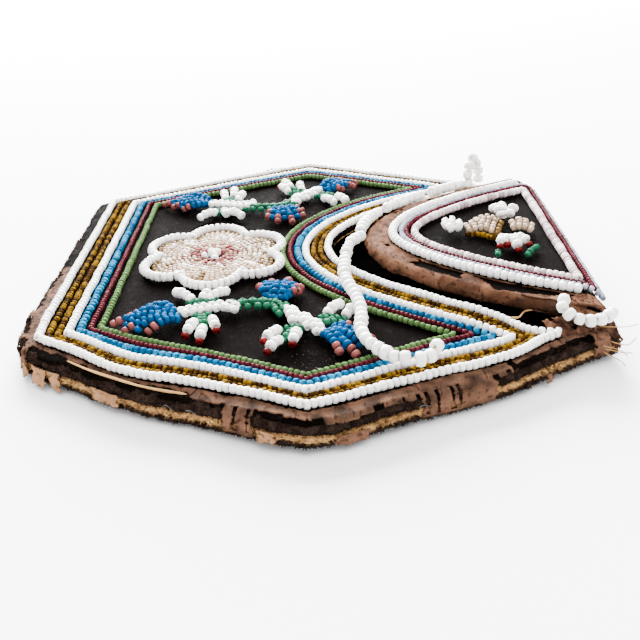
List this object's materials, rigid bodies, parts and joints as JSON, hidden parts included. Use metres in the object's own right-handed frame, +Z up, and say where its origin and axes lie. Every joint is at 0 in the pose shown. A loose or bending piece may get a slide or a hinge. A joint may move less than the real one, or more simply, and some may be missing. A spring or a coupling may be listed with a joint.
{
  "type": "beaded purse",
  "caption": "Flat six-sided velvet purse with a folded triangular flap, bead borders, bead flowers and loose bead strings.",
  "frame": {"origin": "on the surface the purse lies on, under the middle of its width and on the line between its near and far corners", "axes": "+Z up through the front, +Y from the near corner to the far corner, +X towards the flap's hinge edge"},
  "size_m": [0.1386, 0.164, 0.0235],
  "materials": {
    "velvet": "worn black-brown cotton velvet",
    "interlining": "raw tan cloth",
    "lining": "black glazed cotton",
    "ribbon": "worn brown silk ribbon",
    "white_beads": "opaque chalk white glass",
    "amber_beads": "translucent amber glass",
    "border_blue_beads": "translucent sky blue glass",
    "bud_blue_beads": "opaque bright blue glass with pink tips",
    "burgundy_beads": "translucent burgundy glass",
    "border_green_beads": "greasy yellow-green glass",
    "stem_green_beads": "sea green glass",
    "pale_beads": "pale grey-blue glass",
    "crystal_beads": "clear and pinkish crystal glass",
    "pink_beads": "pink glass"
  },
  "bodies": {
    "root": {"back_panel": "velvet", "back_interlining": "interlining", "back_lining": "lining", "front_panel": "velvet", "front_interlining": "interlining", "front_lining": "lining", "seam_roll": "velvet", "flap_panel": "velvet", "flap_interlining": "interlining", "flap_lining": "lining", "ribbon_left": "ribbon", "ribbon_near_left": "ribbon", "ribbon_near_middle": "ribbon", "ribbon_near_right": "ribbon", "ribbon_near_corner": "ribbon", "ribbon_far": "ribbon", "flap_ribbon": "ribbon", "row_white_outer": "white_beads", "row_amber_outer": "amber_beads", "row_amber_inner": "amber_beads", "row_white_inner": "white_beads", "row_blue": "border_blue_beads", "row_burgundy": "burgundy_beads", "row_green": "border_green_beads", "flap_row_white_outer": "white_beads", "flap_row_pale": "pale_beads", "flap_row_burgundy": "burgundy_beads", "flap_row_white_inner": "white_beads", "rosette_rim": "white_beads", "rosette_petals": "crystal_beads", "rosette_centre": "pink_beads", "near_collar_petals": "white_beads", "near_stem": "stem_green_beads", "near_white_stem": "white_beads", "near_white_diagonal": "white_beads", "near_sprig_left": "white_beads", "near_sprig_middle": "white_beads", "near_leaf_pair": "white_beads", "near_bud_left": "bud_blue_beads", "near_bud_top": "bud_blue_beads", "near_bud_right": "bud_blue_beads", "far_collar_petals": "white_beads", "far_stem": "stem_green_beads", "far_white_stem": "white_beads", "far_white_diagonal": "white_beads", "far_sprig_left": "white_beads", "far_sprig_middle": "white_beads", "far_leaf_pair": "white_beads", "far_bud_left": "bud_blue_beads", "far_bud_top": "bud_blue_beads", "far_bud_right": "bud_blue_beads", "flap_flower_centre": "crystal_beads", "flap_bud_tip": "white_beads", "flap_bud_near": "white_beads", "flap_bud_far": "white_beads", "flap_bud_hinge": "crystal_beads", "loose_strand": "white_beads", "flap_edge_string": "white_beads", "standing_loop": "white_beads", "corner_loop": "white_beads"}
  },
  "joints": []
}
